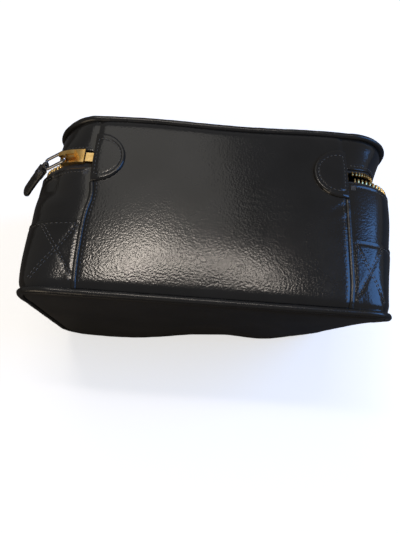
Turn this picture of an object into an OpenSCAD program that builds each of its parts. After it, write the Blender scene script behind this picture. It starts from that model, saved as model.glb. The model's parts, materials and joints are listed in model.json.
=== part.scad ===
// Zip-round leather wash bag, lying on its front wall with the hinge wall up.
// The base half and the lid half are two piped trays, joined by a fold in the hinge wall.
// A metal zipper runs round the other three sides between them.
// Origin: on the resting plane, midway between the two panels. X runs along the length,
// Y from the base panel to the lid panel, Z up to the hinge wall. Millimetres.

/* [Bag] */
// Length over the end walls
bag_l = 262; // [240:1:290]
// Height from the front wall to the hinge wall
bag_h = 146; // [130:1:160]
// Depth between the piping centre lines
bag_d = 138; // [126:1:150]
// Corner radius of the walls, the zipper and the lid
wall_r = 33; // [31:0.5:36]
// Corner radius of the base panel
base_r = 24; // [18:1:33]
// Thickness of the walls
wall_t = 2.8; // [2.4:0.1:3.2]
// Thickness of the reinforcing patches
patch_t = 1.0; // [0.8:0.1:1.2]
// Diameter of the piping
pipe_d = 4.6; // [4:0.2:5.4]
// Thickness of the two leather panels
panel_t = 3; // [2:0.2:4]
// Thickness of the stiffening boards
board_t = 1.8; // [1:0.2:2.4]
// Thickness of the lining
lining_t = 0.6; // [0.4:0.1:0.8]

/* [Hinge wall and patches] */
// Distance of each seam from the middle
seam_x = 92; // [86:1:94]
// Width of the raised seam
welt_w = 3; // [2:0.5:6]
// Height of the raised seam
welt_t = 1.2; // [0.8:0.2:2]
// Reach of each zipper tab towards the middle
tab_w = 24; // [22:1:30]
// Size of each zipper tab across the zipper
tab_h = 40; // [36:1:44]
// Thickness of the tabs
tab_t = 1.8; // [1.2:0.2:2.4]
// Reach of the patches from the base piping
patch_w = 50; // [40:1:60]

/* [Zipper] */
// Distance of the zipper's middle from the bag's middle
zip_y = 34.6; // [32:0.2:38]
// Pitch of the teeth
tooth_pitch = 3; // [2.5:0.5:4]
// Width of a tooth along the zipper
tooth_w = 1.5; // [1:0.1:1.8]
// Length of a tooth across the zipper
tooth_l = 2.6; // [2:0.2:3]
// Height of a tooth
tooth_h = 2.6; // [2:0.2:2.8]
// Half of the gap between the two open rows
row_gap = 1.2; // [1.2:0.1:1.6]
// Half of the opening between the leather edges
edge_gap = 5.8; // [5.8:0.1:7]
// Width of each tape
tape_w = 10; // [8:0.5:12]
// Thickness of the tapes
tape_t = 0.8; // [0.6:0.1:0.8]

/* [Slider and pull] */
// Start of the slider along the corner, in degrees
slider_start = 2; // [1.5:0.5:4]
// Length of the slider along the corner, in degrees
slider_turn = 30; // [26:1:32]
// Turn of the loop away from the zipper's line, in degrees
loop_yaw = 10; // [4:1:14]
// Turn of the leather pull away from the zipper's line, in degrees
pull_yaw = 24; // [14:1:24]
// Slope of the pull loop from the slider's plate, in degrees
loop_slope = 3; // [2:1:8]
// Slope of the leather pull from the slider's plate, in degrees
pull_slope = 17; // [14:1:24]
// Length of the loop between its two bars
loop_l = 19; // [16:1:22]
// Half width of the loop
loop_w = 4.4; // [4:0.1:4.4]
// Wire radius of the loop
loop_wire = 1.1; // [0.9:0.1:1.1]
// Length of the leather pull
pull_l = 30; // [22:1:36]
// Width of the leather pull
pull_w = 10; // [8:0.5:11]
// Thickness of the leather pull
pull_t = 2.8; // [2:0.2:3]

/* [Hidden] */
$fn = 48;

leather = [0.14, 0.13, 0.12];
cloth = [0.25, 0.25, 0.27];
card = [0.55, 0.45, 0.33];
brass = [0.83, 0.64, 0.33];
steel = [0.45, 0.46, 0.48];

far = 400;
fit = 0.4;
pipe_r = pipe_d / 2;
cover_t = 0.9;
cord_r = pipe_r - cover_t;
panel_inset = pipe_d + 0.2;
board_inset = panel_inset + 0.6;
wall_y = bag_d / 2 - pipe_r;
fold_gap = 0.3;
corner_x = bag_l / 2 - wall_r;
corner_z = bag_h - wall_r;
tape_in = wall_t + tape_t;
tooth_mid = wall_t + tape_t / 2;
tooth_root = row_gap + tooth_l;
lining_in = tape_in + 0.2;
lining_gap = 8;
tab_start = seam_x + 1;
tab_round = tab_h / 2;
tape_end = seam_x - 8;
// The corner stretch beside the slider, where both tapes stay with the base half
start_turn = slider_start + slider_turn + 3;
// Distance from the last tooth to the right seam, and the stops at the zipper's ends
row_short = 5;
stop_rise = 1.2;
top_stop_w = 2.4;
stop_slack = 0.2;
slack = 0.3;
plate_t = 1.6;
plate_w = edge_gap - slack;
flange_t = 1;
flange_w = tooth_root + fit + flange_t;
// Radii of the slider's surfaces about the corner's centre
plate_top = wall_r - patch_t + slack + plate_t;
chamber_top = wall_r - tooth_mid + tooth_h / 2 + fit;
chamber_low = wall_r - tooth_mid - tooth_h / 2 - fit;
sole_t = 1.4;
slider_low = chamber_low - sole_t;
slot_top = wall_r - wall_t + slack;
slot_low = wall_r - tape_in - slack;
bar_gap = 0.6;
bar_rho = plate_top + loop_wire + bar_gap;
bridge_t = 1.4;
bridge_low = bar_rho + loop_wire + bar_gap;
bridge_top = bridge_low + bridge_t;
bridge_w = 3.4;
// Angles along the corner: the loop's bar, the bridge, its feet and the post between the rows
bar_turn = 27;
bridge_start = bar_turn - 16;
bridge_turn = 20.8;
foot_turn = 1.6;
post_turn = 5;
// The clip: its neck behind the eye, its plates, and the rivet through them
neck_w = 2.6;
neck_l = 3.4;
clip_w = 7;
clip_l = 9;
clip_floor = 1;
rivet_r = 1;
rivet_head_r = 1.8;
rivet_head_t = 0.6;
rivet_x = neck_l + clip_floor + 4;
clip_t = pull_t + 1.6;
eye_r = loop_wire + 0.55;

// Points round a rounded rectangle in the XZ plane: the bag's outline moved inwards
function outline(inset, corner) =
    let (r = corner - inset, x = bag_l / 2 - corner, z = bag_h / 2 - corner, steps = 12)
    [for (q = [0:3], i = [0:steps])
        let (a = 90 * (q + i / steps), sx = (q == 0 || q == 3) ? 1 : -1, sz = q < 2 ? 1 : -1)
        [sx * x + r * cos(a), bag_h / 2 + sz * z + r * sin(a)]];

// A direction given level with the bag, turned to lie on the slider's plate under the bar
function on_plate(v) =
    [v[0] * cos(bar_turn) - v[2] * sin(bar_turn), v[1], v[0] * sin(bar_turn) + v[2] * cos(bar_turn)];

// The bar and the joint of the pull, worked out along the corner and the loop
bar_at = [-corner_x - bar_rho * sin(bar_turn), zip_y, corner_z + bar_rho * cos(bar_turn)];
loop_out = loop_l * cos(loop_slope);
loop_down = loop_l * sin(loop_slope);
eye_at = bar_at + on_plate([-loop_out * cos(loop_yaw), -loop_out * sin(loop_yaw), -loop_down]);

// An XZ outline, drawn as 2D, made solid from y0 to y1
module along_y(y0, y1) {
    translate([0, y1, 0])
        rotate([90, 0, 0])
            linear_extrude(y1 - y0)
                children();
}

// A plate of the bag's outline
module slab(inset, corner, y0, y1) {
    along_y(y0, y1)
        polygon(outline(inset, corner));
}

// A band of wall between two depths below the bag's outline
module band(out, in, y0, y1) {
    along_y(y0, y1)
        difference() {
            polygon(outline(out, wall_r));
            polygon(outline(in, wall_r));
        }
}

// A profile swept about the upper left corner; its x is the radius, its y runs towards the base
module round_corner(from, turn) {
    translate([-corner_x, zip_y, corner_z])
        rotate([90, -90, 0])
            rotate([0, 0, from])
                rotate_extrude(angle = turn, $fn = 96)
                    children();
}

// Everything beyond one seam, on the side of sign s
module end_side(s) {
    translate([s * (seam_x + far / 2), 0, 0])
        cube([far, far, far], center = true);
}

// Everything between the seams, above or below mid height
module middle(s) {
    translate([0, 0, bag_h / 2 + s * far / 2])
        cube([2 * seam_x, far, far], center = true);
}

// A closed ring of round section along the outline's piping line
module pipe_ring(corner, r, bore) {
    turn_r = corner - pipe_r;
    cx = bag_l / 2 - corner;
    cz = bag_h / 2 - corner;
    for (q = [0:3]) {
        sx = (q == 0 || q == 3) ? 1 : -1;
        sz = q < 2 ? 1 : -1;
        translate([sx * cx, 0, bag_h / 2 + sz * cz])
            rotate([90, -90 * q, 0])
                rotate_extrude(angle = 90)
                    translate([turn_r, 0])
                        pipe_section(r, bore);
    }
    for (s = [-1, 1]) {
        translate([-cx, 0, bag_h / 2 + s * (bag_h / 2 - pipe_r)])
            rotate([0, 90, 0])
                linear_extrude(2 * cx)
                    pipe_section(r, bore);
        translate([s * (bag_l / 2 - pipe_r), 0, bag_h / 2 - cz])
            linear_extrude(2 * cz)
                pipe_section(r, bore);
    }
}

module pipe_section(r, bore) {
    difference() {
        circle(r = r);
        if (bore > 0)
            circle(r = bore);
    }
}

// Lengths along the teeth line, from the start of the upper left corner
row_r = wall_r - tooth_mid;
arc_len = row_r * PI / 2;
side_len = bag_h - 2 * wall_r;
front_len = bag_l - 2 * wall_r;
row_len = 4 * arc_len + 2 * side_len + front_len + (corner_x - seam_x) - row_short;

// Place and turn of a point at length s along the teeth line: [x, z, degrees turned]
function on_row(s) =
    let (a = arc_len, b = side_len, c = front_len, x = corner_x, t = s / row_r * 180 / PI)
    s < a ? [-x - row_r * sin(t), corner_z + row_r * cos(t), t] :
    s < a + b ? [-x - row_r, corner_z - (s - a), 90] :
    s < 2 * a + b ? let (u = (s - b) / row_r * 180 / PI)
        [-x - row_r * sin(u), wall_r + row_r * cos(u), u] :
    s < 2 * a + b + c ? [-x + s - 2 * a - b, wall_r - row_r, 180] :
    s < 3 * a + b + c ? let (u = (s - b - c) / row_r * 180 / PI)
        [x - row_r * sin(u), wall_r + row_r * cos(u), u] :
    s < 3 * a + 2 * b + c ? [x + row_r, wall_r + s - 3 * a - b - c, 270] :
    s < 4 * a + 2 * b + c ? let (u = (s - 2 * b - c) / row_r * 180 / PI)
        [x - row_r * sin(u), corner_z + row_r * cos(u), u] :
    [x - (s - 4 * a - 2 * b - c), corner_z + row_r, 360];

// Teeth of one row between two lengths; side is -1 for the lower row and 1 for the upper
module teeth(side, from, to) {
    first = ceil(from / tooth_pitch);
    last = floor(to / tooth_pitch);
    for (i = [first:last]) {
        at = on_row(tooth_pitch * (i + side / 4));
        translate([at[0], zip_y + side * (row_gap + tooth_l / 2), at[1]])
            rotate([0, -at[2], 0])
                cube([tooth_w, tooth_l, tooth_h], center = true);
    }
}

// Tape of one side, round the three zipped sides and a little under the hinge wall
module tape(side) {
    y0 = min(side * tooth_root, side * (tooth_root + tape_w)) + zip_y;
    difference() {
        band(wall_t, tape_in, y0, y0 + tape_w);
        translate([-tape_end, -far / 2, bag_h / 2])
            cube([2 * tape_end, far, far]);
    }
}

// A half-round leather tab beside the seam on the side of sign s
module tab_outline(s) {
    straight = tab_w - tab_round;
    x_round = s * (tab_start - straight);
    intersection() {
        translate([x_round, zip_y])
            circle(r = tab_round);
        translate([s > 0 ? x_round - far : x_round, zip_y - tab_round])
            square([far, tab_h]);
    }
    translate([min(x_round, s * tab_start), zip_y - tab_round])
        square([straight, tab_h]);
}

// The part of a tab that stays with one half of the bag
module half_tab(s, side) {
    intersection() {
        translate([0, 0, bag_h])
            linear_extrude(tab_t)
                tab_outline(s);
        translate([-far / 2, side > 0 ? zip_y + fold_gap : zip_y - fold_gap - far, 0])
            cube([far, far, far]);
    }
}

// Local X runs down the pull from point p; local Y is the joint's line
module pull_frame(p, yaw, slope) {
    translate(p)
        rotate([0, -bar_turn, 0])
            rotate([0, slope, 180 + yaw])
                children();
}

module base_panel() {
    color(leather)
        slab(panel_inset, base_r, -bag_d / 2 - panel_t, -bag_d / 2);
}

module base_board() {
    color(card)
        slab(board_inset, wall_r, -bag_d / 2, -bag_d / 2 + board_t);
}

module base_lining() {
    floor_y = -bag_d / 2 + board_t;
    color(cloth) {
        slab(lining_in, wall_r, floor_y, floor_y + lining_t);
        band(lining_in, lining_in + lining_t, floor_y, zip_y - lining_gap);
    }
}

module base_piping() {
    color(leather)
        translate([0, -bag_d / 2, 0])
            pipe_ring(base_r, pipe_r, cord_r);
}

module base_piping_cord() {
    color(cloth)
        translate([0, -bag_d / 2, 0])
            pipe_ring(base_r, cord_r, 0);
}

module hinge_wall() {
    color(leather)
        intersection() {
            band(0, wall_t, -wall_y, zip_y - fold_gap);
            middle(1);
        }
}

module front_wall() {
    color(leather)
        intersection() {
            band(0, wall_t, -wall_y, zip_y - edge_gap);
            middle(-1);
        }
}

module end_wall(s) {
    color(leather)
        intersection() {
            band(patch_t, wall_t, -wall_y, zip_y - edge_gap);
            end_side(s);
        }
}

module left_end_wall() {
    end_wall(-1);
}

module right_end_wall() {
    end_wall(1);
}

module patch(s) {
    color(leather)
        intersection() {
            band(0, patch_t, -wall_y, -wall_y + patch_w);
            end_side(s);
        }
}

module left_patch() {
    patch(-1);
}

module right_patch() {
    patch(1);
}

module seam_welt(s) {
    color(leather)
        translate([s * seam_x - welt_w / 2, -wall_y, bag_h])
            cube([welt_w, wall_y + zip_y - tab_round - fit, welt_t]);
}

module left_seam_welt() {
    seam_welt(-1);
}

module right_seam_welt() {
    seam_welt(1);
}

module left_tab() {
    color(leather)
        half_tab(-1, -1);
}

module right_tab() {
    color(leather)
        half_tab(1, -1);
}

module lower_tape() {
    color(cloth)
        tape(-1);
}

module lower_teeth() {
    color(brass)
        teeth(-1, slider_start * row_r * PI / 180, row_len);
}

module upper_tape_start() {
    color(cloth)
        round_corner(0, start_turn)
            translate([wall_r - tape_in, -lining_gap + fit])
                square([tape_t - fit, lining_gap - fit - tooth_root]);
}

module upper_teeth_start() {
    color(brass)
        teeth(1, slider_start * row_r * PI / 180, start_turn * row_r * PI / 180 - tooth_w);
}

module bottom_stop() {
    stop_l = corner_x - seam_x + stop_slack;
    stop_w = 2 * tooth_root - stop_slack;
    color(brass)
        translate([-seam_x - fit - stop_l, zip_y - stop_w / 2, bag_h - tooth_mid - tooth_h / 2])
            cube([stop_l, stop_w, tooth_h + stop_rise]);
}

module top_stop(side) {
    color(brass)
        translate([tab_start, zip_y + (side > 0 ? row_gap : -tooth_root), bag_h - tooth_mid - tooth_h / 2])
            cube([top_stop_w, tooth_l, tooth_h]);
}

module lower_top_stop() {
    top_stop(-1);
}

module lid_panel() {
    color(leather)
        slab(panel_inset, wall_r, bag_d / 2, bag_d / 2 + panel_t);
}

module lid_board() {
    color(card)
        slab(board_inset, wall_r, bag_d / 2 - board_t, bag_d / 2);
}

module lid_lining() {
    roof_y = bag_d / 2 - board_t;
    color(cloth) {
        slab(lining_in, wall_r, roof_y - lining_t, roof_y);
        band(lining_in, lining_in + lining_t, zip_y + lining_gap, roof_y);
    }
}

module lid_piping() {
    color(leather)
        translate([0, bag_d / 2, 0])
            pipe_ring(wall_r, pipe_r, cord_r);
}

module lid_piping_cord() {
    color(cloth)
        translate([0, bag_d / 2, 0])
            pipe_ring(wall_r, cord_r, 0);
}

module lid_hinge_wall() {
    color(leather)
        intersection() {
            band(0, wall_t, zip_y + fold_gap, wall_y);
            middle(1);
        }
}

module lid_front_strip() {
    color(leather)
        intersection() {
            band(0, wall_t, zip_y + edge_gap, wall_y);
            middle(-1);
        }
}

module lid_end_strip(s) {
    color(leather)
        intersection() {
            band(patch_t, wall_t, zip_y + edge_gap, wall_y);
            end_side(s);
        }
}

module lid_left_strip() {
    lid_end_strip(-1);
}

module lid_right_strip() {
    lid_end_strip(1);
}

module left_tab_lid_half() {
    color(leather)
        half_tab(-1, 1);
}

module right_tab_lid_half() {
    color(leather)
        half_tab(1, 1);
}

module upper_tape() {
    color(cloth)
        difference() {
            tape(1);
            round_corner(-10, start_turn + 10)
                translate([wall_r / 2, -2 * lining_gap - tape_w])
                    square([wall_r, 2 * lining_gap + tape_w]);
            translate([-corner_x, 0, bag_h / 2])
                cube([corner_x, far, far]);
        }
}

module upper_teeth() {
    color(brass)
        teeth(1, start_turn * row_r * PI / 180 + tooth_pitch / 2, row_len);
}

module upper_top_stop() {
    top_stop(1);
}

// Top and bottom plates, side flanges with the tape slots, and the post between the rows
module slider_body() {
    color(brass)
        round_corner(slider_start, slider_turn) {
            translate([slider_low, -flange_w])
                square([chamber_low - slider_low, 2 * flange_w]);
            translate([chamber_top, -flange_w])
                square([plate_top - plate_t - chamber_top, 2 * flange_w]);
            translate([plate_top - plate_t, -plate_w])
                square([plate_t, 2 * plate_w]);
            for (s = [-1, 1])
                translate([0, s * (flange_w - flange_t / 2)]) {
                    translate([slot_top, -flange_t / 2])
                        square([plate_top - slot_top, flange_t]);
                    translate([slider_low, -flange_t / 2])
                        square([slot_low - slider_low, flange_t]);
                }
        }
    color(brass)
        round_corner(slider_start + slider_turn - 2 * post_turn, post_turn)
            translate([slider_low, -row_gap + fit])
                square([plate_top - slider_low, 2 * (row_gap - fit)]);
}

// Arch over the slider that holds the loop's bar
module slider_bridge() {
    color(brass) {
        round_corner(bridge_start, bridge_turn)
            translate([bridge_low, -bridge_w / 2])
                square([bridge_top - bridge_low, bridge_w]);
        for (turn = [bridge_start, bridge_start + bridge_turn - foot_turn])
            round_corner(turn, foot_turn)
                translate([plate_top, -bridge_w / 2])
                    square([bridge_top - plate_top, bridge_w]);
    }
}

// Rounded rectangle of wire: one bar under the bridge, the other in the clip's eye
module pull_loop() {
    bend = 2.2;
    color(steel)
        pull_frame(bar_at, loop_yaw, loop_slope) {
            for (x = [0, loop_l])
                translate([x, -(loop_w - bend), 0])
                    rotate([-90, 0, 0])
                        cylinder(r = loop_wire, h = 2 * (loop_w - bend));
            for (s = [-1, 1])
                translate([bend, s * loop_w, 0])
                    rotate([0, 90, 0])
                        cylinder(r = loop_wire, h = loop_l - 2 * bend);
            for (q = [0:3])
                translate([(q == 0 || q == 3) ? loop_l - bend : bend, (q < 2 ? 1 : -1) * (loop_w - bend), 0])
                    rotate([0, 0, 90 * q])
                        rotate_extrude(angle = 90)
                            translate([bend, 0])
                                circle(r = loop_wire);
        }
}

// Folded metal strip: an eye round the loop's bar and two plates that grip the leather
module pull_clip() {
    color(steel)
        pull_frame(eye_at, pull_yaw, pull_slope)
            difference() {
                union() {
                    rotate([90, 0, 0])
                        cylinder(r = clip_t / 2, h = neck_w, center = true);
                    translate([0, -neck_w / 2, -clip_t / 2])
                        cube([neck_l + fit, neck_w, clip_t]);
                    translate([neck_l, -clip_w / 2, -clip_t / 2])
                        cube([clip_l, clip_w, clip_t]);
                }
                rotate([90, 0, 0])
                    cylinder(r = eye_r, h = clip_w, center = true);
                translate([neck_l + clip_floor, -clip_w, -pull_t / 2])
                    cube([clip_l, 2 * clip_w, pull_t]);
                translate([rivet_x, 0, 0])
                    cylinder(r = rivet_r, h = far, center = true);
            }
}

module clip_rivet() {
    color(steel)
        pull_frame(eye_at, pull_yaw, pull_slope)
            translate([rivet_x, 0, 0]) {
                cylinder(r = rivet_r, h = clip_t, center = true);
                for (s = [-1, 1])
                    translate([0, 0, s * (clip_t + rivet_head_t) / 2])
                        cylinder(r = rivet_head_r, h = rivet_head_t, center = true);
            }
}

// Two layers of leather with a rounded end
module leather_pull() {
    straight = pull_l - pull_w / 2;
    pull_start = neck_l + clip_floor + 0.2;
    color(leather)
        pull_frame(eye_at, pull_yaw, pull_slope)
            translate([pull_start, 0, -pull_t / 2])
                difference() {
                    linear_extrude(pull_t) {
                        translate([0, -pull_w / 2])
                            square([straight, pull_w]);
                        translate([straight, 0])
                            circle(r = pull_w / 2);
                    }
                    translate([rivet_x - pull_start, 0, -1])
                        cylinder(r = rivet_r, h = pull_t + 2);
                }
}

base_panel();
base_board();
base_lining();
base_piping();
base_piping_cord();
hinge_wall();
front_wall();
left_end_wall();
right_end_wall();
left_patch();
right_patch();
left_seam_welt();
right_seam_welt();
left_tab();
right_tab();
lower_tape();
lower_teeth();
upper_tape_start();
upper_teeth_start();
bottom_stop();
lower_top_stop();
lid_panel();
lid_board();
lid_lining();
lid_piping();
lid_piping_cord();
lid_hinge_wall();
lid_front_strip();
lid_left_strip();
lid_right_strip();
left_tab_lid_half();
right_tab_lid_half();
upper_tape();
upper_teeth();
upper_top_stop();
slider_body();
slider_bridge();
pull_loop();
pull_clip();
clip_rivet();
leather_pull();
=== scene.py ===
import json
import math

import bmesh
import bpy
import numpy as np
from mathutils import Matrix, Quaternion, Vector


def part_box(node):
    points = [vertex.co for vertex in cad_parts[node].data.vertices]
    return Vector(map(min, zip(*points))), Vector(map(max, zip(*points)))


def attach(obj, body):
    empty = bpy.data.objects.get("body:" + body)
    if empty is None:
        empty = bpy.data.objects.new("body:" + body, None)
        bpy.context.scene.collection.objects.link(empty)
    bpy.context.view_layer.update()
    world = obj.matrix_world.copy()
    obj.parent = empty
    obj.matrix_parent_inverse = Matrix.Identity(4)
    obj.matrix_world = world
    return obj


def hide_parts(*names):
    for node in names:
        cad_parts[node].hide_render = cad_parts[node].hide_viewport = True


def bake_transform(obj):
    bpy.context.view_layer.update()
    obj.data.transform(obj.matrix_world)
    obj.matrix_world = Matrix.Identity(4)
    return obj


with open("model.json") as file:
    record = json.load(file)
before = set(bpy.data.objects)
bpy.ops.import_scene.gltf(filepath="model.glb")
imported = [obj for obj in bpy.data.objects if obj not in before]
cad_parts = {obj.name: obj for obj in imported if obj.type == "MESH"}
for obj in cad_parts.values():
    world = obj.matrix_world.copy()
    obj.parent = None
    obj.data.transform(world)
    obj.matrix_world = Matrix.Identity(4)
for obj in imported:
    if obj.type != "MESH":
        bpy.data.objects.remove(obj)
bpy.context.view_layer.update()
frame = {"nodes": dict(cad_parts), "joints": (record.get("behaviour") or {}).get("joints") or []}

MM = 0.001

# Sizes from the frame, in millimetres
END = -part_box("left_patch")[0].x / MM
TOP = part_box("hinge_wall")[1].z / MM
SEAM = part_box("hinge_wall")[1].x / MM
WALL_Y = -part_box("hinge_wall")[0].y / MM
LOWER_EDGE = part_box("left_end_wall")[1].y / MM
UPPER_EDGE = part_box("lid_left_strip")[0].y / MM
ZIP_Y = (LOWER_EDGE + UPPER_EDGE) / 2
PIPE_Y = -(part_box("base_piping")[0].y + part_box("base_piping")[1].y) / 2 / MM
PIPE_R = PIPE_Y - WALL_Y
PANEL_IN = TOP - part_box("base_panel")[1].z / MM
BOARD_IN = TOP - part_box("base_board")[1].z / MM
LINING_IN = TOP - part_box("base_lining")[1].z / MM
TAPE_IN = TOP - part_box("lower_tape")[1].z / MM
TAPE_T = 0.8
TAPE_ROOT = 3.8
TAPE_W = 10.0
TAPE_END = 84.0
TEETH_IN = TAPE_IN + TAPE_T / 2
WALL_R = 33.0
WALL_T = 2.8
PATCH_T = 1.0
PATCH_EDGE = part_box("left_patch")[1].y / MM
TAB_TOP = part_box("left_tab")[1].z / MM - TOP
TAB_START = SEAM + 1
TAB_ROUND = 20.0
PITCH = 3.0
TOOTH_L = 2.6
ROW_GAP = 1.2

# Stitch lines: in from the edge along the zipper, and in from a tab's rim
HEM_IN = 3.2
TAB_STITCH_IN = 2.8
# How far a tab's rings shrink, from its rim to its middle
TAB_REACH = 11
# From the pull's axis to the start of the leather, and the size of one pebble in the grain
PULL_START = 4.6
PEBBLE = 1.25

# Lengths round the outline, from the middle of the hinge wall towards -X
FLAT = END - WALL_R
TURN = WALL_R * math.pi / 2
SIDE = TOP - 2 * WALL_R
KNOTS = np.cumsum([0, FLAT, TURN, SIDE, TURN, 2 * FLAT, TURN, SIDE, TURN, FLAT])
ROUND = KNOTS[-1]
CORNER_X = FLAT * np.array([0, -1, -1, -1, -1, 1, 1, 1, 1, 0])
CORNER_Z = np.array([TOP - WALL_R] * 3 + [WALL_R] * 4 + [TOP - WALL_R] * 3)
HEADING = np.radians([0, 0, 90, 90, 180, 180, 270, 270, 360, 360])
FRONT_SEAM = KNOTS[4] + FLAT - SEAM
# Where the short start of the upper tape ends and the lid's tape begins
TAPE_SPLIT = FLAT + math.radians(35) * WALL_R
# A wave texture of this scale repeats every millimetre
WAVE_PER_MM = 314


def ease(t):
    t = np.clip(t, 0, 1)
    return t * t * (3 - 2 * t)


def bell(t):
    return np.exp(-np.square(t))


# ---------------------------------------------------------------- the bag's surface


def base_shift(x, y, z, top):
    """How far the base half's leather moves along X and Y."""
    dx = np.zeros_like(x)
    dy = np.zeros_like(x)
    t = (np.minimum(y, LOWER_EDGE) + WALL_Y) / (LOWER_EDGE + WALL_Y)
    start = 100 + 18 * ease((np.minimum(y, LOWER_EDGE) + 5) / 18)
    left = ease((-x - start) / (END - start))
    right = ease((x - 100) / (END - 100))
    # Both ends bulge
    swell = np.sin(math.pi * np.clip(0.05 + 0.62 * t, 0, 1)) ** 0.7
    dx -= 9 * swell * left
    dx += (5 * ease((t - 0.25) / 0.65) - 5 * (1 - ease(t / 0.5))) * right
    # The foot of the base panel leans in, most at its right end
    low = np.clip(1 - z / TOP, 0, 1)
    lean = 1.5 + 10 * ease((x + 120) / 150) + 8 * ease((x - 45) / 60)
    lean += 1.3 * np.sin(x / 21 + 1.2)
    lean += 14 * ease((x - 95) / 35)
    dy += lean * low**1.2 * (1 - ease((y + WALL_Y) / 70))
    # The left seam bows, the leather beside it is slack, and the right seam shifts
    bow = 2 * bell((y + 74) / 20) + 2.4 * bell((y - 4) / 12)
    dx += bow * bell((x + SEAM) / 14) * top
    slack = ease((-x - 86) / 16) * ease((y + 8) / 34) * (1 - ease((y - LOWER_EDGE) / 2.4))
    dy -= 3.2 * slack * ease((z - 60) / 40)
    dx += 1.8 * bell((x - SEAM) / 14) * top * ease((y + 72) / 25)
    return dx, dy


def lid_shift(x, y, z, top):
    """How far the lid half's leather moves along X and Y."""
    dx = np.zeros_like(x)
    dy = np.zeros_like(x)
    t = (WALL_Y - np.maximum(y, UPPER_EDGE)) / (WALL_Y - UPPER_EDGE)
    left = ease((-x - 118) / (END - 118))
    right = ease((x - 100) / (END - 100))
    dx += 3.5 * t * left
    dx += (1.5 - 7.5 * t) * right
    dy += 4 * t * right
    bulge = 2.6 * bell((x + 55) / 55) + 2 * bell((x - 75) / 45)
    dy += bulge * ease((y - 45) / 20) * ease((z - 40) / 80)
    dx += 1.8 * bell((x - SEAM) / 14) * top * (1 - ease((y - 36) / 28))
    return dx, dy


def soften(x, y, z, half):
    """Where a point of the taut bag goes once the leather sags, bulges and leans."""
    shift = base_shift if half == "base" else lid_shift
    dx, dy = shift(x, y, z, ease((z - TOP + 28) / 20))
    return np.stack([x + dx, y + dy, z], -1)


def taut(s, y, depth, half):
    """A point of the taut bag: s round it, y across it, depth under its surface."""
    s = np.mod(s, ROUND)
    turn = np.interp(s, KNOTS, HEADING)
    r = WALL_R - depth
    if half == "base":
        sharper = np.where(turn < math.pi / 2, 5.0, 3.7)
        sharper = np.where((turn > math.pi) & (turn < 1.5 * math.pi), -3.3, sharper)
        corner = np.abs(np.sin(2 * turn)) ** 1.6
        r = r + sharper * corner * (1 - ease((y + WALL_Y) / 60))
    else:
        sharper = np.where(turn < math.pi / 2, -3.2, 0.0)
        sharper = np.where(turn > 1.5 * math.pi, 2.0, sharper)
        r = r + sharper * np.abs(np.sin(2 * turn)) * ease((y - 44) / 22)
    x = np.interp(s, KNOTS, CORNER_X) - r * np.sin(turn)
    z = np.interp(s, KNOTS, CORNER_Z) + r * np.cos(turn)
    return x, y, z


def surface(s, y, depth, half):
    s, y, depth = np.broadcast_arrays(*[np.asarray(v, float) for v in (s, y, depth)])
    return soften(*taut(s, y, depth, half), half)


def around(s):
    """Signed length from the hinge wall's middle, positive towards -X."""
    return np.mod(s + ROUND / 2, ROUND) - ROUND / 2


def near_line(a, y, start, end):
    """1 on a line between two (s, y) points, falling to 0 beside it."""
    run = np.array(end, float) - np.array(start, float)
    t = ((a - start[0]) * run[0] + (y - start[1]) * run[1]) / np.dot(run, run)
    t = np.clip(t, 0, 1)
    gap = np.hypot(a - start[0] - t * run[0], y - start[1] - t * run[1])
    return bell(gap / 0.8)


def patch_lines():
    """The crosses sewn on the patches, as (s, y) ends: one over the top corner, one below."""
    high, low = PATCH_EDGE - 3.5, -WALL_Y + 5
    return [
        ((SEAM + 3.5, high), (SEAM + 27, low)),
        ((SEAM + 26, high), (SEAM + 3.5, low + 4)),
        ((FRONT_SEAM - 3.5, high), (FRONT_SEAM - 27, low)),
        ((FRONT_SEAM - 26, high), (FRONT_SEAM - 3.5, low + 4)),
    ]


def quilting(a, y):
    """Where thread pulls the leather in."""
    dent = near_line(a, y, (SEAM + 4, PATCH_EDGE - 3), (FRONT_SEAM - 4, PATCH_EDGE - 3))
    for start, end in patch_lines():
        dent = np.maximum(dent, near_line(a, y, start, end))
    return dent


def relief(s, y, half):
    """How far the leather stands out of the plain wall, in millimetres."""
    u = around(s)
    a = np.abs(u)
    # Sunk beside the piping, crowned on the hinge wall and the ends, sunk at the seams
    out = -1.25 * bell((WALL_Y - np.abs(y)) / 3.0)
    across = np.clip(1 - (y / WALL_Y) ** 2, 0, 1)
    out = out + 1.9 * np.clip(1 - (a / SEAM) ** 2, 0, 1) * across
    out = out + 0.7 * np.sin(math.pi * np.clip((a - SEAM - 12) / 60, 0, 1)) * across
    out = out - 1.3 * (1 - np.exp(-np.clip(a - SEAM, 0, 60) / 7))
    out = out - 0.9 * (bell((a - SEAM) / 2.2) + bell((a - FRONT_SEAM) / 2.2))
    # The hem along the zipper, then broad ripples
    edge = LOWER_EDGE - y if half == "base" else y - UPPER_EDGE
    beyond = ease((a - SEAM - 1) / 3)
    hem = 0.3 * bell((edge - 1.4) / 1.6) - 0.4 * bell((edge - HEM_IN) / 0.8)
    out = out + hem * beyond
    out = out + 0.12 * np.sin(a / 19 + 1.3 * np.sin(y / 27)) * np.sin(y / 17 + 0.7 * np.sin(u / 33))
    # Fine creases near the zipper, left of the middle, and puckers at the left tab
    crease = np.sin(y * 1.3 + 2.2 * np.sin(u / 9.5) + 0.9 * np.sin(u / 3.7))
    place = bell((u + 40) / 48) * bell((y - 8) / 13) * (0.5 + 0.5 * np.sin(u / 4.3 + y / 5))
    out = out + 0.09 * crease * place
    pull = bell((u + SEAM - 5) / 9) * bell((y - 6) / 9)
    out = out + 0.22 * np.sin((y + 0.8 * u) / 1.9) * pull
    if half == "base":
        out = out - 0.5 * quilting(a, y)
    under = ease((a - 225) / 40)
    return out * (1 - under)


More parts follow.
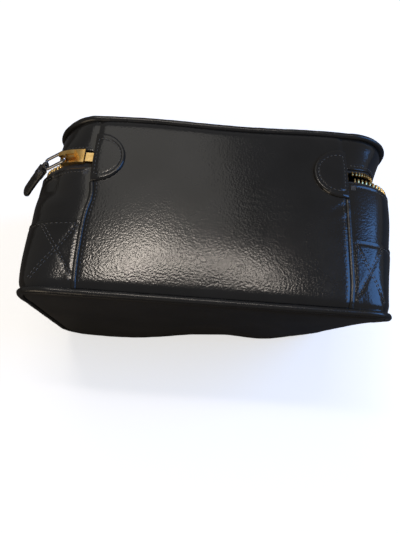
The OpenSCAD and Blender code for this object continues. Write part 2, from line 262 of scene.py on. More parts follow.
def skin(s, y, depth, half):
    """A point of the leather wall, with its relief. The inner face stays plain."""
    s, y, depth = np.broadcast_arrays(*[np.asarray(v, float) for v in (s, y, depth)])
    share = np.clip(1 - depth / WALL_T, 0, 1)
    return surface(s, y, depth - relief(s, y, half) * share, half)


def hinge_skin(s, y, depth):
    """The hinge wall runs across both halves."""
    base = skin(s, y, depth, "base")
    lid = skin(s, y, depth, "lid")
    w = ease((np.asarray(y, float) - ZIP_Y + 12) / 24)[..., None]
    return base * (1 - w) + lid * w


# ---------------------------------------------------------------- mesh helpers


def grid_faces(nu, nv, wrap_u, wrap_v, first=0):
    index = np.arange(nu * nv).reshape(nu, nv) + first
    if wrap_u:
        index = np.vstack([index, index[:1]])
    if wrap_v:
        index = np.hstack([index, index[:, :1]])
    a = index[:-1, :-1].ravel()
    b = index[1:, :-1].ravel()
    c = index[1:, 1:].ravel()
    d = index[:-1, 1:].ravel()
    return np.stack([a, b, c, d], 1).tolist()


def tube_faces(rows, n, first=0):
    """Faces of a tube of rings with n points each, closed at both ends."""
    faces = grid_faces(rows, n, False, True, first)
    faces.append([first + i for i in range(n)])
    faces.append([first + (rows - 1) * n + i for i in range(n)])
    return faces


def add_object(name, data):
    obj = bpy.data.objects.new(name, data)
    bpy.context.scene.collection.objects.link(obj)
    return obj


def new_mesh(name, points, faces, sharp=50.0):
    """A smooth-shaded object from points in millimetres, with nothing under the floor."""
    mesh = bpy.data.meshes.new(name)
    points = np.array(points, float).reshape(-1, 3)
    points[:, 2] = np.maximum(points[:, 2], 0)
    mesh.from_pydata((points * MM).tolist(), [], faces)
    bm = bmesh.new()
    bm.from_mesh(mesh)
    bmesh.ops.recalc_face_normals(bm, faces=bm.faces)
    limit = math.radians(sharp)
    for f in bm.faces:
        f.smooth = True
    for e in bm.edges:
        if len(e.link_faces) == 2 and e.calc_face_angle(0) > limit:
            e.smooth = False
    bm.to_mesh(mesh)
    bm.free()
    return add_object(name, mesh)


def dress(obj, material, slot, body, *nodes):
    obj.data.materials.clear()
    obj.data.materials.append(material)
    if body:
        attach(obj, body)
    if nodes:
        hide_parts(*nodes)
    return obj


def section(y0, y1, d0, d1, pitch=1.6):
    """A closed loop of (y, depth) round a strip with rounded edges."""
    r = 0.45 * min(d1 - d0, y1 - y0)
    arc = np.linspace(0, math.pi / 2, 5)
    n = max(3, int((y1 - y0 - 2 * r) / pitch))
    run = np.linspace(y0 + r, y1 - r, n)
    loop = [(y, d0) for y in run[:-1]]
    loop += [(y1 - r + r * math.sin(t), d0 + r - r * math.cos(t)) for t in arc]
    loop += [(y1 - r + r * math.cos(t), d1 - r + r * math.sin(t)) for t in arc]
    loop += [(y, d1) for y in run[::-1][1:-1]]
    loop += [(y0 + r - r * math.sin(t), d1 - r + r * math.cos(t)) for t in arc]
    loop += [(y0 + r - r * math.cos(t), d0 + r - r * math.sin(t)) for t in arc[:-1]]
    return np.array(loop)


def steps(a, b, pitch):
    return np.linspace(a, b, max(3, int(abs(b - a) / pitch)))


def strip(name, s, loop, place):
    """A section swept round the bag."""
    points = place(s[:, None], loop[None, :, 0], loop[None, :, 1])
    return new_mesh(name, points, tube_faces(len(s), len(loop)))


def half_of(side):
    return "base" if side < 0 else "lid"


def wall_span(half):
    """The y of a half's wall at the piping and at the zipper, lower value first."""
    return (-WALL_Y, LOWER_EDGE) if half == "base" else (UPPER_EDGE, WALL_Y)


def half_skin(half, under=0.0):
    """The leather of one half, or a face a little under it."""
    return lambda s, y, depth: skin(s, y, depth + under, half)


def half_surface(half):
    return lambda s, y, depth: surface(s, y, depth, half)


def join_meshes(name, parts):
    """Several (points, faces) lists as one object."""
    points = np.vstack([p.reshape(-1, 3) for p, f in parts])
    faces = []
    first = 0
    for p, f in parts:
        faces += [[i + first for i in face] for face in f]
        first += len(p.reshape(-1, 3))
    return new_mesh(name, points, faces)


# ---------------------------------------------------------------- materials


def node_material(name):
    material = bpy.data.materials.new(name)
    material.use_nodes = True
    tree = material.node_tree
    tree.nodes.clear()
    out = tree.nodes.new("ShaderNodeOutputMaterial")
    shader = tree.nodes.new("ShaderNodeBsdfPrincipled")
    tree.links.new(shader.outputs[0], out.inputs[0])
    coords = tree.nodes.new("ShaderNodeTexCoord")
    return material, tree, shader, coords.outputs["Object"]


def noise(tree, coords, scale, detail=3.0, stretch=(1, 1, 1)):
    mapping = tree.nodes.new("ShaderNodeMapping")
    mapping.inputs["Scale"].default_value = stretch
    tree.links.new(coords, mapping.inputs["Vector"])
    node = tree.nodes.new("ShaderNodeTexNoise")
    node.inputs["Scale"].default_value = scale
    node.inputs["Detail"].default_value = detail
    tree.links.new(mapping.outputs[0], node.inputs["Vector"])
    return node.outputs["Fac"]


def cells(tree, coords, scale, feature="F1"):
    node = tree.nodes.new("ShaderNodeTexVoronoi")
    node.feature = feature
    node.inputs["Scale"].default_value = scale
    tree.links.new(coords, node.inputs["Vector"])
    return node.outputs["Distance"]


def bands(tree, coords, scale, direction, distortion=0.0):
    node = tree.nodes.new("ShaderNodeTexWave")
    node.bands_direction = direction
    node.inputs["Scale"].default_value = scale
    node.inputs["Distortion"].default_value = distortion
    tree.links.new(coords, node.inputs["Vector"])
    return node.outputs["Fac"]


def spread(tree, value, low, high):
    node = tree.nodes.new("ShaderNodeMapRange")
    node.inputs["To Min"].default_value = low
    node.inputs["To Max"].default_value = high
    tree.links.new(value, node.inputs["Value"])
    return node.outputs["Result"]


def tint(tree, value, dark, light, at=(0.3, 0.7)):
    node = tree.nodes.new("ShaderNodeValToRGB")
    for element, place, colour in zip(node.color_ramp.elements, at, (dark, light)):
        element.position = place
        element.color = (*colour, 1)
    tree.links.new(value, node.inputs["Fac"])
    return node.outputs["Color"]


def bump(tree, shader, heights):
    """Bumps laid over each other: (height, strength, distance in metres)."""
    last = None
    for height, strength, distance in heights:
        node = tree.nodes.new("ShaderNodeBump")
        node.inputs["Strength"].default_value = strength
        node.inputs["Distance"].default_value = distance
        tree.links.new(height, node.inputs["Height"])
        if last:
            tree.links.new(last, node.inputs["Normal"])
        last = node.outputs["Normal"]
    tree.links.new(last, shader.inputs["Normal"])


def paint(tree, shader, colour, roughness):
    tree.links.new(colour, shader.inputs["Base Color"])
    tree.links.new(roughness, shader.inputs["Roughness"])


def leather_material(name, grain=1.0, gloss=0.15, dark=0.011, light=0.019):
    material, tree, shader, coords = node_material(name)
    pebble = cells(tree, coords, 1000 / PEBBLE, "SMOOTH_F1")
    pores = noise(tree, coords, 2600, 2)
    folds = noise(tree, coords, 120, 4, (1, 0.6, 1))
    patches = noise(tree, coords, 28, 3)
    warm = np.array([1.0, 0.94, 0.86])
    colour = tint(tree, patches, dark * warm, light * warm)
    paint(tree, shader, colour, spread(tree, folds, gloss - 0.02, gloss + 0.05))
    shader.inputs["Specular IOR Level"].default_value = 0.5
    bump(tree, shader, [
        (pebble, 0.9 * grain, 0.00008),
        (pores, 0.3 * grain, 0.00001),
    ])
    return material


def thread_material():
    material, tree, shader, coords = node_material("waxed_thread")
    twist = bands(tree, coords, 1400, "DIAGONAL", 1.0)
    fuzz = noise(tree, coords, 900, 3)
    colour = tint(tree, fuzz, (0.06, 0.056, 0.05), (0.16, 0.15, 0.135))
    paint(tree, shader, colour, spread(tree, fuzz, 0.35, 0.55))
    bump(tree, shader, [(twist, 0.5, 0.0001)])
    return material


def cloth_material(name, dark, light, pitch, twill=True):
    material, tree, shader, coords = node_material(name)
    across = bands(tree, coords, WAVE_PER_MM / pitch, "DIAGONAL" if twill else "X", 0.4)
    along = bands(tree, coords, WAVE_PER_MM / pitch, "Y", 0.4)
    mottle = noise(tree, coords, 60, 4)
    paint(tree, shader, tint(tree, mottle, dark, light), spread(tree, mottle, 0.7, 0.9))
    shader.inputs["Sheen Weight"].default_value = 0.3
    bump(tree, shader, [(across, 0.4, 0.0002), (along, 0.3, 0.0002)])
    return material


def metal_material(name, dark, light, gloss):
    material, tree, shader, coords = node_material(name)
    wear = noise(tree, coords, 220, 4)
    scratch = noise(tree, coords, 900, 2, (1, 8, 1))
    colour = tint(tree, wear, dark, light)
    paint(tree, shader, colour, spread(tree, wear, gloss - 0.06, gloss + 0.1))
    shader.inputs["Metallic"].default_value = 1.0
    bump(tree, shader, [(scratch, 0.15, 0.00005), (wear, 0.2, 0.00012)])
    return material


def board_material():
    material, tree, shader, coords = node_material("fibre_board")
    fibres = noise(tree, coords, 300, 5, (1, 1, 4))
    colour = tint(tree, fibres, (0.3, 0.24, 0.16), (0.5, 0.42, 0.3))
    paint(tree, shader, colour, spread(tree, fibres, 0.8, 0.95))
    bump(tree, shader, [(fibres, 0.4, 0.0002)])
    return material


LEATHER = leather_material("black_leather_grain")
PIPING = leather_material("piping_leather_gloss", 0.5, 0.26)
PANEL = leather_material("panel_leather", 0.6, 0.4, 0.014, 0.022)
THREAD = thread_material()
LINING = cloth_material("lining_twill", (0.028, 0.028, 0.03), (0.05, 0.05, 0.054), 0.7)
TAPE = cloth_material("tape_herringbone", (0.012, 0.011, 0.01), (0.022, 0.02, 0.018), 0.9)
CORD = cloth_material("cotton_cord", (0.42, 0.4, 0.34), (0.6, 0.57, 0.5), 1.2)
BRASS = metal_material("brass_teeth_metal", (0.62, 0.4, 0.14), (0.86, 0.62, 0.27), 0.24)
GOLD = metal_material("gold_slider_metal", (0.8, 0.47, 0.13), (0.98, 0.66, 0.25), 0.26)
CHROME = metal_material("dark_chrome_metal", (0.2, 0.2, 0.21), (0.42, 0.42, 0.44), 0.16)
BOARD = board_material()


# ---------------------------------------------------------------- leather walls


def hinge_leather():
    s = steps(-SEAM, SEAM, 1.4)
    loop = section(-WALL_Y, WALL_Y, 0, WALL_T, 1.4)
    obj = strip("hinge_leather", s, loop, hinge_skin)
    dress(obj, LEATHER, "black_leather", None, "hinge_wall", "lid_hinge_wall")
    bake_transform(obj)


def end_wall(name, side, half, node):
    y0, y1 = wall_span(half)
    s = side * steps(SEAM, FRONT_SEAM, 1.6)
    loop = section(y0, y1, PATCH_T, WALL_T, 1.2)
    obj = strip(name, s, loop, half_skin(half))
    dress(obj, LEATHER, "black_leather", half, node)


def front_wall(name, half, node):
    y0, y1 = wall_span(half)
    s = steps(FRONT_SEAM, ROUND - FRONT_SEAM, 3)
    obj = strip(name, s, section(y0, y1, 0, WALL_T, 2.5), half_skin(half))
    dress(obj, LEATHER, "black_leather", half, node)


def patch(name, side, node):
    s = side * steps(SEAM, FRONT_SEAM, 1.6)
    loop = section(-WALL_Y, PATCH_EDGE, 0, PATCH_T + 0.05, 1.2)
    obj = strip(name, s, loop, half_skin("base"))
    dress(obj, LEATHER, "black_leather", "base", node)


def seam_welt(name, side, node):
    """The turned edge of the seam, a rounded ridge from the base piping to the tab."""
    low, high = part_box(node)
    half_wide = 1.7
    across = np.linspace(-half_wide, half_wide, 13)
    ridge = 1.4 * np.cos(across * math.pi / (2 * half_wide) * 0.98) ** 0.6
    loop_s = np.concatenate([across, across[::-1][1:-1]])
    loop_d = np.concatenate([-ridge, np.full(len(across) - 2, 0.5)])
    y = steps(low.y / MM, high.y / MM, 1.2)
    wave = 1 + 0.12 * np.sin(y * 2 * math.pi / 3)[:, None]
    points = skin(side * SEAM + loop_s[None, :], y[:, None], loop_d[None, :] * wave, "base")
    obj = new_mesh(name, points, tube_faces(len(y), len(loop_s)))
    dress(obj, PIPING, "piping_leather", "base", node)


def tab_rim():
    """Points round a half-round tab on the +X side, in (x, y)."""
    straight = steps(ZIP_Y - TAB_ROUND, ZIP_Y + TAB_ROUND, 1.2)
    edge = [(TAB_START, y) for y in straight]
    centre = TAB_START - 4
    turn = steps(math.pi / 2, 3 * math.pi / 2, 0.05)
    edge += [(centre + TAB_ROUND * math.cos(t), ZIP_Y + TAB_ROUND * math.sin(t)) for t in turn]
    return np.array(edge)


def tab(name, side, *nodes):
    rim = tab_rim()
    middle = np.array([TAB_START - TAB_REACH, ZIP_Y])
    reach = np.array([0, 0.25, 0.6, 1.1, 1.7, 2.2, 2.6, 3.0, 3.4, 4.2, 5.5, 7.5, 9.5, 10.8])
    scale = 1 - reach / TAB_REACH
    thick = TAB_TOP * np.sqrt(1 - (1 - np.clip(reach / 1.1, 0, 1)) ** 2)
    thick = thick + 0.08 * bell((reach - 1.3) / 0.7) - 0.22 * bell((reach - TAB_STITCH_IN) / 0.3)
    scale = np.concatenate([[1], scale])
    thick = np.concatenate([[-0.3], thick])
    xy = middle + scale[:, None, None] * (rim - middle)
    s = -side * xy[..., 0]
    points = hinge_skin(s, xy[..., 1], -np.broadcast_to(thick[:, None], s.shape))
    obj = new_mesh(name, points, tube_faces(len(scale), len(rim)))
    dress(obj, LEATHER, "black_leather", None, *nodes)
    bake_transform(obj)


# ---------------------------------------------------------------- panels, boards, piping


def shrunk(x, z, scale):
    """Copies of an outline in (x, z), drawn in towards the panel's middle."""
    return scale[:, None] * x, TOP / 2 + scale[:, None] * (z - TOP / 2)


def plate(name, side, inset, near, rise, crown, material, slot, body, *nodes):
    """A panel with a rounded rim: near is its inner face's distance from the bag's middle,
    rise its thickness past the rim, and crown how far its middle stands out."""
    half = half_of(side)
    s = np.linspace(0, ROUND, 380, endpoint=False)
    rim_y = np.full_like(s, side * PIPE_Y)
    x, _, z = taut(s, rim_y, np.full_like(s, inset), half)
    turn = np.interp(s, KNOTS, HEADING)
    normal_run = np.abs(x * np.sin(turn)) + np.abs((z - TOP / 2) * np.cos(turn))
    reach = np.array([0, 0.3, 0.7, 1.2, 1.8, 2.6, 3.6, 5, 7, 10, 14, 19, 25, 32, 40, 50, 60, 67])
    scale = 1 - reach / (TOP / 2 - inset)
    gx, gz = shrunk(x, z, scale)
    d = (1 - scale)[:, None] * normal_run
    height = 0.4 + rise * (1 - np.exp(-d / 1.9))
    belly = np.clip(1 - (gx / END) ** 2, 0, 1)
    belly = belly * np.clip(1 - ((gz - TOP / 2) / (TOP / 2)) ** 2, 0, 1)
    ripple = 0.3 * np.sin(gx / 17 + 1.1 * np.sin(gz / 25)) * np.sin(gz / 15 + 0.4)
    ripple = ripple + 0.35 * np.sin(gx / 9 + 1) * bell((gz - 16) / 14)
    face = height + crown * (belly + ripple * ease(d / 12))
    front = soften(gx, side * (near + face), gz, half)
    back = soften(x, np.full_like(x, side * near), z, half)
    points = np.vstack([back[None], front])
    obj = new_mesh(name, points, tube_faces(len(reach) + 1, len(s)))
    dress(obj, material, slot, body, *nodes)


def pipe(name, side, r, material, slot, node):
    """A round cord of radius r round one panel."""
    half = half_of(side)
    s = np.linspace(0, ROUND, 420, endpoint=False)
    turn = np.linspace(0, 2 * math.pi, 20, endpoint=False)
    pucker = 1 + 0.02 * np.sin(s / 4.1) + 0.015 * np.sin(s / 1.9 + 1)
    y = side * PIPE_Y + r * np.sin(turn)[None, :] * pucker[:, None]
    depth = PIPE_R - r * np.cos(turn)[None, :] * pucker[:, None]
    points = surface(s[:, None], y, depth, half)
    obj = new_mesh(name, points, grid_faces(len(s), len(turn), True, True))
    dress(obj, material, slot, half, node)


def lining(name, side, node):
    """A cloth tray: a floor over the board and a band inside the walls."""
    half = half_of(side)
    low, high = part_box(node)
    floor_y = (low.y if side < 0 else high.y) / MM
    open_y = (high.y if side < 0 else low.y) / MM
    s = np.linspace(0, ROUND, 300, endpoint=False)
    run = np.linspace(0, 1, 26)
    y = floor_y + (open_y - floor_y) * run
    fold = 0.45 * (1 + np.sin(s / 7.5)[:, None] * np.sin(2.5 * run + 1)[None, :])
    fold = fold * np.sin(math.pi * run)[None, :]
    outer = surface(s[:, None], y[None, :], LINING_IN, half)
    inner = surface(s[:, None], y[None, :] - side * 0.3 * (run == 0), LINING_IN + 0.5 + fold, half)
    band = np.concatenate([outer, inner[:, ::-1]], 1)
    parts = [(band, grid_faces(len(s), 2 * len(run), True, True))]
    x, _, z = taut(s, np.full_like(s, floor_y), np.full_like(s, LINING_IN + 0.2), half)
    scale = np.linspace(1, 0.02, 16)
    gx, gz = shrunk(x, z, scale)
    drape = 0.5 + 0.3 * np.sin(gx / 23 + 1) * np.sin(gz / 19) * (1 - scale[:, None])
    upper = soften(gx, floor_y - side * drape, gz, half)
    lower = soften(gx, np.full_like(gx, floor_y), gz, half)
    sheet = np.vstack([upper[::-1], lower])
    parts.append((sheet, tube_faces(2 * len(scale), len(s))))
    dress(join_meshes(name, parts), LINING, "lining", half, node)


# ---------------------------------------------------------------- zipper


def tape(name, half, s0, s1, node):
    if half == "base":
        y0, y1 = ZIP_Y - TAPE_ROOT - TAPE_W, ZIP_Y - TAPE_ROOT
    else:
        y0, y1 = ZIP_Y + TAPE_ROOT, ZIP_Y + TAPE_ROOT + TAPE_W
    loop = section(y0, y1, TAPE_IN, TAPE_IN + TAPE_T, 1.2)
    obj = strip(name, steps(s0, s1, 1.8), loop, half_surface(half))
    dress(obj, TAPE, "zipper_tape", half, node)


def start_tape():
    """The short tape beside the slider that stays with the base half."""
    low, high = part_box("upper_tape_start")
    loop = section(low.y / MM, high.y / MM, TAPE_IN, TAPE_IN + TAPE_T, 1.2)
    s = steps(FLAT, TAPE_SPLIT, 1.2)
    obj = strip("zipper_tape_start", s, loop, half_surface("lid"))
    dress(obj, TAPE, "zipper_tape", "base", "upper_tape_start")


def tooth_points(s, side, half):
    """One tooth: gripped on the tape, narrow at the neck, wide at the head."""
    grip = np.array([-0.9, 0.1, 0.9, 1.6, 2.2, TOOTH_L])
    wide = np.array([0.5, 0.72, 0.56, 0.74, 0.74, 0.42])
    tall = np.array([0.85, 1.3, 1.2, 1.28, 1.2, 0.75])
    turn = np.radians(np.arange(22.5, 360, 45))
    ca = np.sign(np.cos(turn)) * np.abs(np.cos(turn)) ** 0.6
    sa = np.sign(np.sin(turn)) * np.abs(np.sin(turn)) ** 0.6
    y_root = ZIP_Y + side * (ROW_GAP + TOOTH_L)
    here, ahead, out = surface(
        np.array([s, s + 0.5, s]),
        np.full(3, y_root),
        np.array([TEETH_IN, TEETH_IN, TEETH_IN - 0.5]),
        half,
    )
    along = (ahead - here) / np.linalg.norm(ahead - here)
    up = (out - here) / np.linalg.norm(out - here)
    to_gap = np.array([0, -side, 0])
    local = (
        here
        + grip[:, None, None] * to_gap
        + (wide[:, None] * ca)[..., None] * along
        + (tall[:, None] * sa)[..., None] * up
    )
    return local, tube_faces(len(grip), len(turn))


def row_to_ring(t):
    """Length along the teeth line from the upper left corner, as a length round the bag."""
    r = WALL_R - TEETH_IN
    arc = r * math.pi / 2
    knots = np.cumsum([0, arc, SIDE, arc, 2 * FLAT, arc, SIDE, arc, FLAT])
    return np.interp(t, knots, KNOTS[1:])


def teeth(name, side, first, last, body, node):
    half = half_of(side)
    parts = []
    for i in range(first, last + 1):
        s = row_to_ring(PITCH * (i + side / 4))
        parts.append(tooth_points(s, side, half))
    dress(join_meshes(name, parts), BRASS, "brass_teeth", body, node)


# ---------------------------------------------------------------- stitches


def dashes(path, pitch=3.0, length=2.0):
    """Ends of the stitches along a path of (s, y) points."""
    path = np.array(path, float)
    runs = np.linalg.norm(np.diff(path, axis=0), axis=1)
    total = np.concatenate([[0], np.cumsum(runs)])
    count = max(1, int(total[-1] / pitch))
    start = (np.arange(count) + 0.5) * total[-1] / count - length / 2
    ends = []
    for at in (start, start + length):
        ends.append(np.stack([np.interp(at, total, path[:, k]) for k in (0, 1)], -1))
    return np.stack(ends, 1)


def stitches(name, lines, place, material, body, r=0.3, lift=0.0, blend=False):
    """Short rounded threads, sunk at both ends."""
    ends = [dashes(*line) if isinstance(line, tuple) else dashes(line) for line in lines]
    ends = np.concatenate(ends)
    t = np.array([0, 0.12, 0.35, 0.65, 0.88, 1.0])
    thin = np.array([0.3, 0.85, 1.0, 1.0, 0.85, 0.3])
    sink = np.array([0.3, 0.05, -0.14, -0.14, 0.05, 0.3])
    at = ends[:, 0, None, :] * (1 - t[:, None]) + ends[:, 1, None, :] * t[:, None]
    depth = sink[None, :] - lift
    centre = place(at[..., 0], at[..., 1], depth)
    above = place(at[..., 0], at[..., 1], depth - 0.3)
    up = (above - centre) / np.linalg.norm(above - centre, axis=-1, keepdims=True)
    along = centre[:, -1:, :] - centre[:, :1, :]
    beside = np.cross(np.broadcast_to(along, up.shape), up)
    beside = beside / np.linalg.norm(beside, axis=-1, keepdims=True)
    n = 6
    turn = np.linspace(0, 2 * math.pi, n, endpoint=False)
    round_it = np.cos(turn)[:, None] * beside[..., None, :]
    round_it = round_it + np.sin(turn)[:, None] * up[..., None, :]
    points = centre[..., None, :] + (r * thin)[:, None, None] * round_it
    faces = []
    for k in range(len(ends)):
        faces += tube_faces(len(t), n, k * len(t) * n)
    obj = new_mesh(name, points, faces, 80)
    dress(obj, material, "black_leather", None if blend else body)
    if blend:
        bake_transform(obj)


def double(a, b, gap=0.9):
    """Two lines of stitches side by side from a to b."""
    a, b = np.array(a, float), np.array(b, float)
    across = np.array([a[1] - b[1], b[0] - a[0]])
    across = across / np.linalg.norm(across) * gap
    return [[a + across, b + across], [a - across, b - across]]


def patch_stitches(name, side):
    top = PATCH_EDGE - 3
    lines = [[(side * (SEAM + 4), top), (side * (FRONT_SEAM - 4), top)]]
    for start, end in patch_lines():
        lines += double((side * start[0], start[1]), (side * end[0], end[1]))
    stitches(name, lines, half_skin("base"), THREAD, "base", 0.27)


def hem_line(half):
    return LOWER_EDGE - HEM_IN if half == "base" else UPPER_EDGE + HEM_IN


def hem_stitches(name, half, side):
    y = hem_line(half)
    line = [(side * (SEAM + 3), y), (side * (FRONT_SEAM - 3), y)]
    stitches(name, [line], half_skin(half, PATCH_T), THREAD, half, 0.27)


def front_hem_stitches(name, half):
    y = hem_line(half)
    line = [(FRONT_SEAM + 2, y), (ROUND - FRONT_SEAM - 2, y)]
    stitches(name, [line], half_skin(half, 0.25), THREAD, half, 0.27)


def seam_stitches(name, side):
    beside = 3.6
    inner, outer = side * (SEAM - beside), side * (SEAM + beside)
    start = -WALL_Y + 4
    lines = [
        [(inner, start), (inner, ZIP_Y - TAB_ROUND - 1)],
        [(outer, start), (outer, PATCH_EDGE - 4)],
    ]
    stitches(name, lines, half_skin("base"), THREAD, "base", 0.26)


def tab_stitches(name, side):
    rim = tab_rim()
    middle = np.array([TAB_START - TAB_REACH, ZIP_Y])
    ring = middle + (1 - TAB_STITCH_IN / TAB_REACH) * (rim - middle)
    ring = np.vstack([ring, ring[:1]])
    path = np.stack([-side * ring[:, 0], ring[:, 1]], -1)
    stitches(name, [path], hinge_skin, THREAD, None, 0.26, TAB_TOP - 0.2, True)


def bar_tacks(name, side):
    """A short dense row of threads that locks the hem by the seam."""
    lines = []
    for k in range(7):
        s = side * (SEAM + 3.2 + 0.55 * k)
        lines.append(([(s, LOWER_EDGE - 6.4), (s, LOWER_EDGE - 2.0)], 5, 4.2))
    stitches(name, lines, half_skin("base", PATCH_T), THREAD, "base", 0.25, 0.1)


# ---------------------------------------------------------------- pull


def pull_axes():
    joint = [j for j in frame["joints"] if j["name"] == "pull_lift"][0]
    eye = np.array(joint["pos_m"]) / MM
    across = np.array(joint["axis"], float)
    across = across / np.linalg.norm(across)
    strap = frame["nodes"]["leather_pull"].data.vertices
    middle = np.mean([v.co for v in strap], axis=0) / MM
    down = middle - eye
    down = down - np.dot(down, across) * across
    down = down / np.linalg.norm(down)
    up = np.cross(down, across)
    return eye, down, across, up * np.sign(up[2])


def pull_point(axes, x, y, z):
    """A point of the leather pull: x down it from its start, y across, z off its middle."""
    eye, down, across, up = axes
    z = z - 0.9 * ease((x - 9) / 24)
    return eye + (PULL_START + x)[..., None] * down + y[..., None] * across + z[..., None] * up


def leather_pull():
    axes = pull_axes()
    length, half_w, thick = 30.0, 5.0, 2.8
    straight = length - half_w
    side_run = np.linspace(0, straight, 18)
    turn = np.linspace(0, math.pi, 22)[1:-1]
    rim = [(x, half_w) for x in side_run]
    rim += [(straight + half_w * math.sin(t), half_w * math.cos(t)) for t in turn]
    rim += [(x, -half_w) for x in side_run[::-1]]
    rim = np.array(rim)
    spine = np.stack([np.clip(rim[:, 0], 3, straight), 0 * rim[:, 0]], -1)
    scale = np.array([1, 0.96, 0.9, 0.84, 0.78, 0.7, 0.62, 0.54, 0.3, 0.02])
    gap = half_w * (1 - scale)
    top = thick / 2 * np.sqrt(1 - (1 - np.clip(gap / 0.9, 0, 1)) ** 2)
    top = top + 0.12 * bell((gap - 3.6) / 1.3) - 0.22 * bell((gap - 1.5) / 0.35)
    flat_part = ease((rim[:, 0] - 8) / 4)
    top = np.minimum(top[:, None], thick / 2) * (1 - flat_part) + top[:, None] * flat_part
    xy = spine + scale[:, None, None] * (rim - spine)
    layers = [pull_point(axes, xy[..., 0], xy[..., 1], sign * top) for sign in (1, -1)]
    points = np.concatenate([layers[0][::-1], layers[1][1:]])
    obj = new_mesh("leather_pull_strap", points, tube_faces(len(points), len(rim)))
    dress(obj, PIPING, "black_leather", "pull", "leather_pull")


def pull_stitches():
    axes = pull_axes()

    def place(x, y, depth):
        return pull_point(axes, x, y, 1.25 - depth)

    r = 3.5
    path = [(10, r)]
    path += [(25 + r * math.sin(t), r * math.cos(t)) for t in np.linspace(0, math.pi, 14)]
    path += [(10, -r)]
    stitches("pull_thread", [(path, 2.2, 1.5)], place, THREAD, "pull", 0.2)


# ---------------------------------------------------------------- CAD parts that stay


def keep(node, material, bevel=0.0):
    obj = frame["nodes"][node]
    obj.data.materials.clear()
    obj.data.materials.append(material)
    if bevel:
        modifier = obj.modifiers.new("worn_edges", "BEVEL")
        modifier.width = bevel * MM
        modifier.segments = 2
        modifier.limit_method = "ANGLE"
        modifier.angle_limit = math.radians(40)


# ---------------------------------------------------------------- stage, camera, lights


def seen_or_lit(tree, lit, seen, target):
    """The pale set shows white behind the object, and throws little light back at it."""
    path = tree.nodes.new("ShaderNodeLightPath")
    mix = tree.nodes.new("ShaderNodeMixShader")
    tree.links.new(path.outputs["Is Camera Ray"], mix.inputs["Fac"])
    tree.links.new(lit, mix.inputs[1])
    tree.links.new(seen, mix.inputs[2])
    tree.links.new(mix.outputs[0], target)


def floor():
    size = 3.0
    mesh = bpy.data.meshes.new("floor")
    corners = [(-size, -size, 0), (size, -size, 0), (size, size, 0), (-size, size, 0)]
    mesh.from_pydata(corners, [], [(0, 1, 2, 3)])
    obj = add_object("floor", mesh)
    material, tree, shader, _ = node_material("pale_floor")
    shader.inputs["Base Color"].default_value = (0.9, 0.9, 0.9, 1)
    shader.inputs["Roughness"].default_value = 0.8
    shader.inputs["Emission Color"].default_value = (1, 1, 1, 1)
    shader.inputs["Emission Strength"].default_value = 0.6
    dim = tree.nodes.new("ShaderNodeBsdfDiffuse")
    dim.inputs["Color"].default_value = (0.12, 0.11, 0.1, 1)
    target = tree.nodes["Material Output"].inputs[0]
    seen_or_lit(tree, dim.outputs[0], shader.outputs[0], target)
    mesh.materials.append(material)


def camera():
    """The photo's camera, as the fit to the bag's corners, seams and tabs gave it."""
    data = bpy.data.cameras.new("camera")
    obj = add_object("camera", data)
    elevation, azimuth, roll = math.radians(69.04), math.radians(1.04), math.radians(3.2)
    back = Vector((
        math.sin(azimuth) * math.cos(elevation),
        -math.cos(azimuth) * math.cos(elevation),
        math.sin(elevation),
    ))
    right = (-back).cross(Vector((0, 0, 1))).normalized()
    up = right.cross(-back)
    turned = right * math.cos(roll) + up * math.sin(roll)
    upright = up * math.cos(roll) - right * math.sin(roll)
    obj.matrix_world = matrix_of(turned, upright, back, Vector((-0.00654, -0.1485, 0.4148)))
    data.lens = 29.12
    data.sensor_width = 36
    data.clip_start = 0.01
    bpy.context.scene.camera = obj


def matrix_of(x, y, z, place):
    m = Matrix((x, y, z)).transposed().to_4x4()
    m.translation = place
    return m


def area_light(name, place, target, size, power, colour, roll=0):
    data = bpy.data.lights.new(name, "AREA")
    data.shape = "RECTANGLE"
    data.size, data.size_y = size
    data.energy = power
    data.color = colour
    obj = add_object(name, data)
    obj.location = place
    aim = Vector(target) - Vector(place)
    turn = aim.to_track_quat("-Z", "Y") @ Quaternion((0, 0, 1), math.radians(roll))
    obj.rotation_euler = turn.to_euler()


def lights():
    world = bpy.data.worlds.new("studio")
    bpy.context.scene.world = world
    world.use_nodes = True
    tree = world.node_tree
    soft = tree.nodes["Background"]
    soft.inputs["Color"].default_value = (1.0, 0.97, 0.93, 1)
    soft.inputs["Strength"].default_value = 0.2
    pale = tree.nodes.new("ShaderNodeBackground")
    pale.inputs["Color"].default_value = (0.95, 0.95, 0.95, 1)
    seen_or_lit(tree, soft.outputs[0], pale.outputs[0], tree.nodes["World Output"].inputs[0])
    centre = (0, 0, 0.1)
    area_light("band", (-0.06, 0.345, 1.4), centre, (0.74, 0.06), 2.6, (1.0, 0.9, 0.8), -13)
    area_light("band_left", (-0.3, 0.405, 1.39), centre, (0.24, 0.07), 0.95, (1.0, 0.89, 0.77), -15)
    area_light("over", (-0.25, 0.85, 1.45), centre, (0.75, 0.9), 1.8, (1.0, 0.96, 0.88))
    area_light("front", (-0.9, -1.3, 0.5), centre, (0.8, 0.8), 5, (1.0, 0.82, 0.6))
    area_light("right", (0.98, 0.2, 0.85), centre, (0.6, 0.9), 8, (0.14, 0.4, 1.0))
    bpy.context.scene.view_settings.view_transform = "Standard"


# ---------------------------------------------------------------- the whole bag


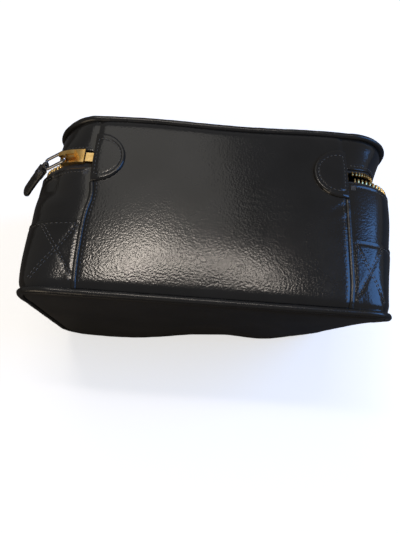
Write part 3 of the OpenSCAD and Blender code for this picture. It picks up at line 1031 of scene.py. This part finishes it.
def walls():
    hinge_leather()
    end_wall("left_end_leather", 1, "base", "left_end_wall")
    end_wall("right_end_leather", -1, "base", "right_end_wall")
    end_wall("lid_left_leather", 1, "lid", "lid_left_strip")
    end_wall("lid_right_leather", -1, "lid", "lid_right_strip")
    front_wall("front_leather", "base", "front_wall")
    front_wall("lid_front_leather", "lid", "lid_front_strip")
    patch("left_patch_leather", 1, "left_patch")
    patch("right_patch_leather", -1, "right_patch")
    seam_welt("left_seam_ridge", 1, "left_seam_welt")
    seam_welt("right_seam_ridge", -1, "right_seam_welt")
    tab("left_zip_tab", -1, "left_tab", "left_tab_lid_half")
    tab("right_zip_tab", 1, "right_tab", "right_tab_lid_half")


def panels():
    leather = (PANEL_IN - 0.3, PIPE_Y, 2.4, 1.6, PANEL, "black_leather")
    board = (BOARD_IN, PIPE_Y - 1.8, 1.35, 0, BOARD, "board")
    plate("base_panel_leather", -1, *leather, "base", "base_panel")
    plate("lid_panel_leather", 1, *leather, "lid", "lid_panel")
    plate("base_stiffener", -1, *board, "base", "base_board")
    pipe("base_piping_leather", -1, 2.45, PIPING, "piping_leather", "base_piping")
    pipe("lid_piping_leather", 1, 2.45, PIPING, "piping_leather", "lid_piping")
    pipe("base_piping_core", -1, 1.35, CORD, "piping_core", "base_piping_cord")
    plate("lid_stiffener", 1, *board, "lid", "lid_board")
    pipe("lid_piping_core", 1, 1.35, CORD, "piping_core", "lid_piping_cord")
    lining("base_lining_cloth", -1, "base_lining")
    lining("lid_lining_cloth", 1, "lid_lining")


def zipper():
    tape("lower_zip_tape", "base", TAPE_END, ROUND - TAPE_END, "lower_tape")
    tape("upper_zip_tape", "lid", TAPE_SPLIT, ROUND - TAPE_END, "upper_tape")
    start_tape()
    corners = 4 * (WALL_R - TEETH_IN) * math.pi / 2
    last = int((corners + 2 * SIDE + 2 * FLAT + FLAT - SEAM - 5) / PITCH)
    teeth("lower_zip_teeth", -1, 1, last, "base", "lower_teeth")
    teeth("upper_zip_teeth_start", 1, 1, 5, "base", "upper_teeth_start")
    teeth("upper_zip_teeth", 1, 7, last, "lid", "upper_teeth")
    keep("bottom_stop", BRASS, 0.3)
    keep("lower_top_stop", BRASS, 0.3)
    keep("upper_top_stop", BRASS, 0.3)
    keep("slider_body", GOLD, 0.35)
    keep("slider_bridge", GOLD, 0.4)
    keep("pull_loop", CHROME)
    keep("pull_clip", CHROME, 0.3)
    keep("clip_rivet", CHROME, 0.2)
    leather_pull()
    pull_stitches()


def threads():
    patch_stitches("left_patch_thread", 1)
    patch_stitches("right_patch_thread", -1)
    for side, word in ((1, "left"), (-1, "right")):
        hem_stitches(word + "_hem_thread", "base", side)
        hem_stitches(word + "_lid_hem_thread", "lid", side)
        seam_stitches(word + "_seam_thread", side)
        bar_tacks(word + "_bar_tack", side)
        tab_stitches(word + "_tab_thread", -side)
    front_hem_stitches("front_hem_thread", "base")
    front_hem_stitches("lid_front_hem_thread", "lid")


walls()
panels()
zipper()
threads()
floor()
camera()
lights()
